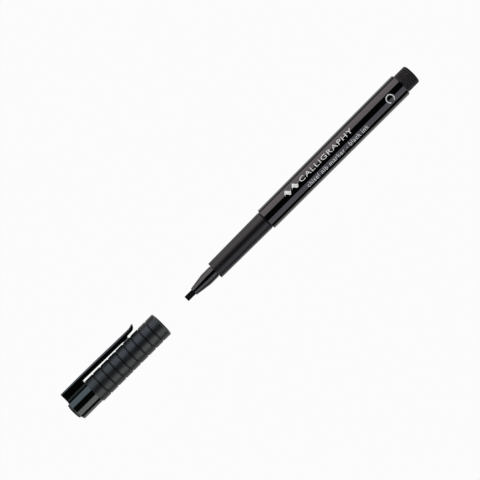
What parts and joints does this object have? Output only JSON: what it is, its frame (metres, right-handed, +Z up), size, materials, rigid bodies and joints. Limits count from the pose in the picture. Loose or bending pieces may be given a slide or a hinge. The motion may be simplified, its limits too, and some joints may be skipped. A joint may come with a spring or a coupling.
{
  "type": "calligraphy marker",
  "caption": "Slim round fibre pen with a chisel nib, matt grip, glossy barrel and fluted rear plug; its grooved pull-off cap with a pocket clip lies in line in front of the nib.",
  "frame": {"origin": "middle of the nib's flat writing edge", "axes": "+X along the pen's axis towards its rear end, +Y towards the side that the cap's clip is on, +Z up"},
  "size_m": [0.1962, 0.0144, 0.0112],
  "materials": {
    "barrel_gloss": "glossy injection-moulded black with white print",
    "nose_gloss": "glossy injection-moulded black",
    "cap_gloss": "glossy injection-moulded black",
    "grip_matt": "fine matt black",
    "sleeve_matt": "fine matt black, grooved on the sleeve",
    "plug_matt": "matt black with fine flutes",
    "nib_fibre": "bonded fibre, soaked with black ink",
    "ink_fibre": "bonded fibre rod, soaked with black ink",
    "film": "thin clear film",
    "liner": "natural white, slightly waxy"
  },
  "bodies": {
    "pen": {"barrel": "barrel_gloss", "grip_section": "grip_matt", "nose_cone": "nose_gloss", "nib": "nib_fibre", "ink_reservoir": "ink_fibre", "reservoir_film": "film", "end_plug": "plug_matt"},
    "cap": {"cap_shell": "cap_gloss", "cap_sleeve": "sleeve_matt", "inner_cap": "liner", "cap_end_disc": "sleeve_matt"},
    "clip": {"cap_clip": "cap_gloss"}
  },
  "joints": [
    {"name": "cap_slide", "type": "slide", "parent": "pen", "child": "cap", "axis": [1, 0, 0], "range_m": [0, 0.0604]},
    {"name": "clip_flex", "type": "hinge", "parent": "cap", "child": "clip", "pos_m": [-0.05345, 0.0076, 0], "axis": [0, 0, 1], "range_deg": [0, 5], "stiffness_Nm_per_rad": 2}
  ]
}
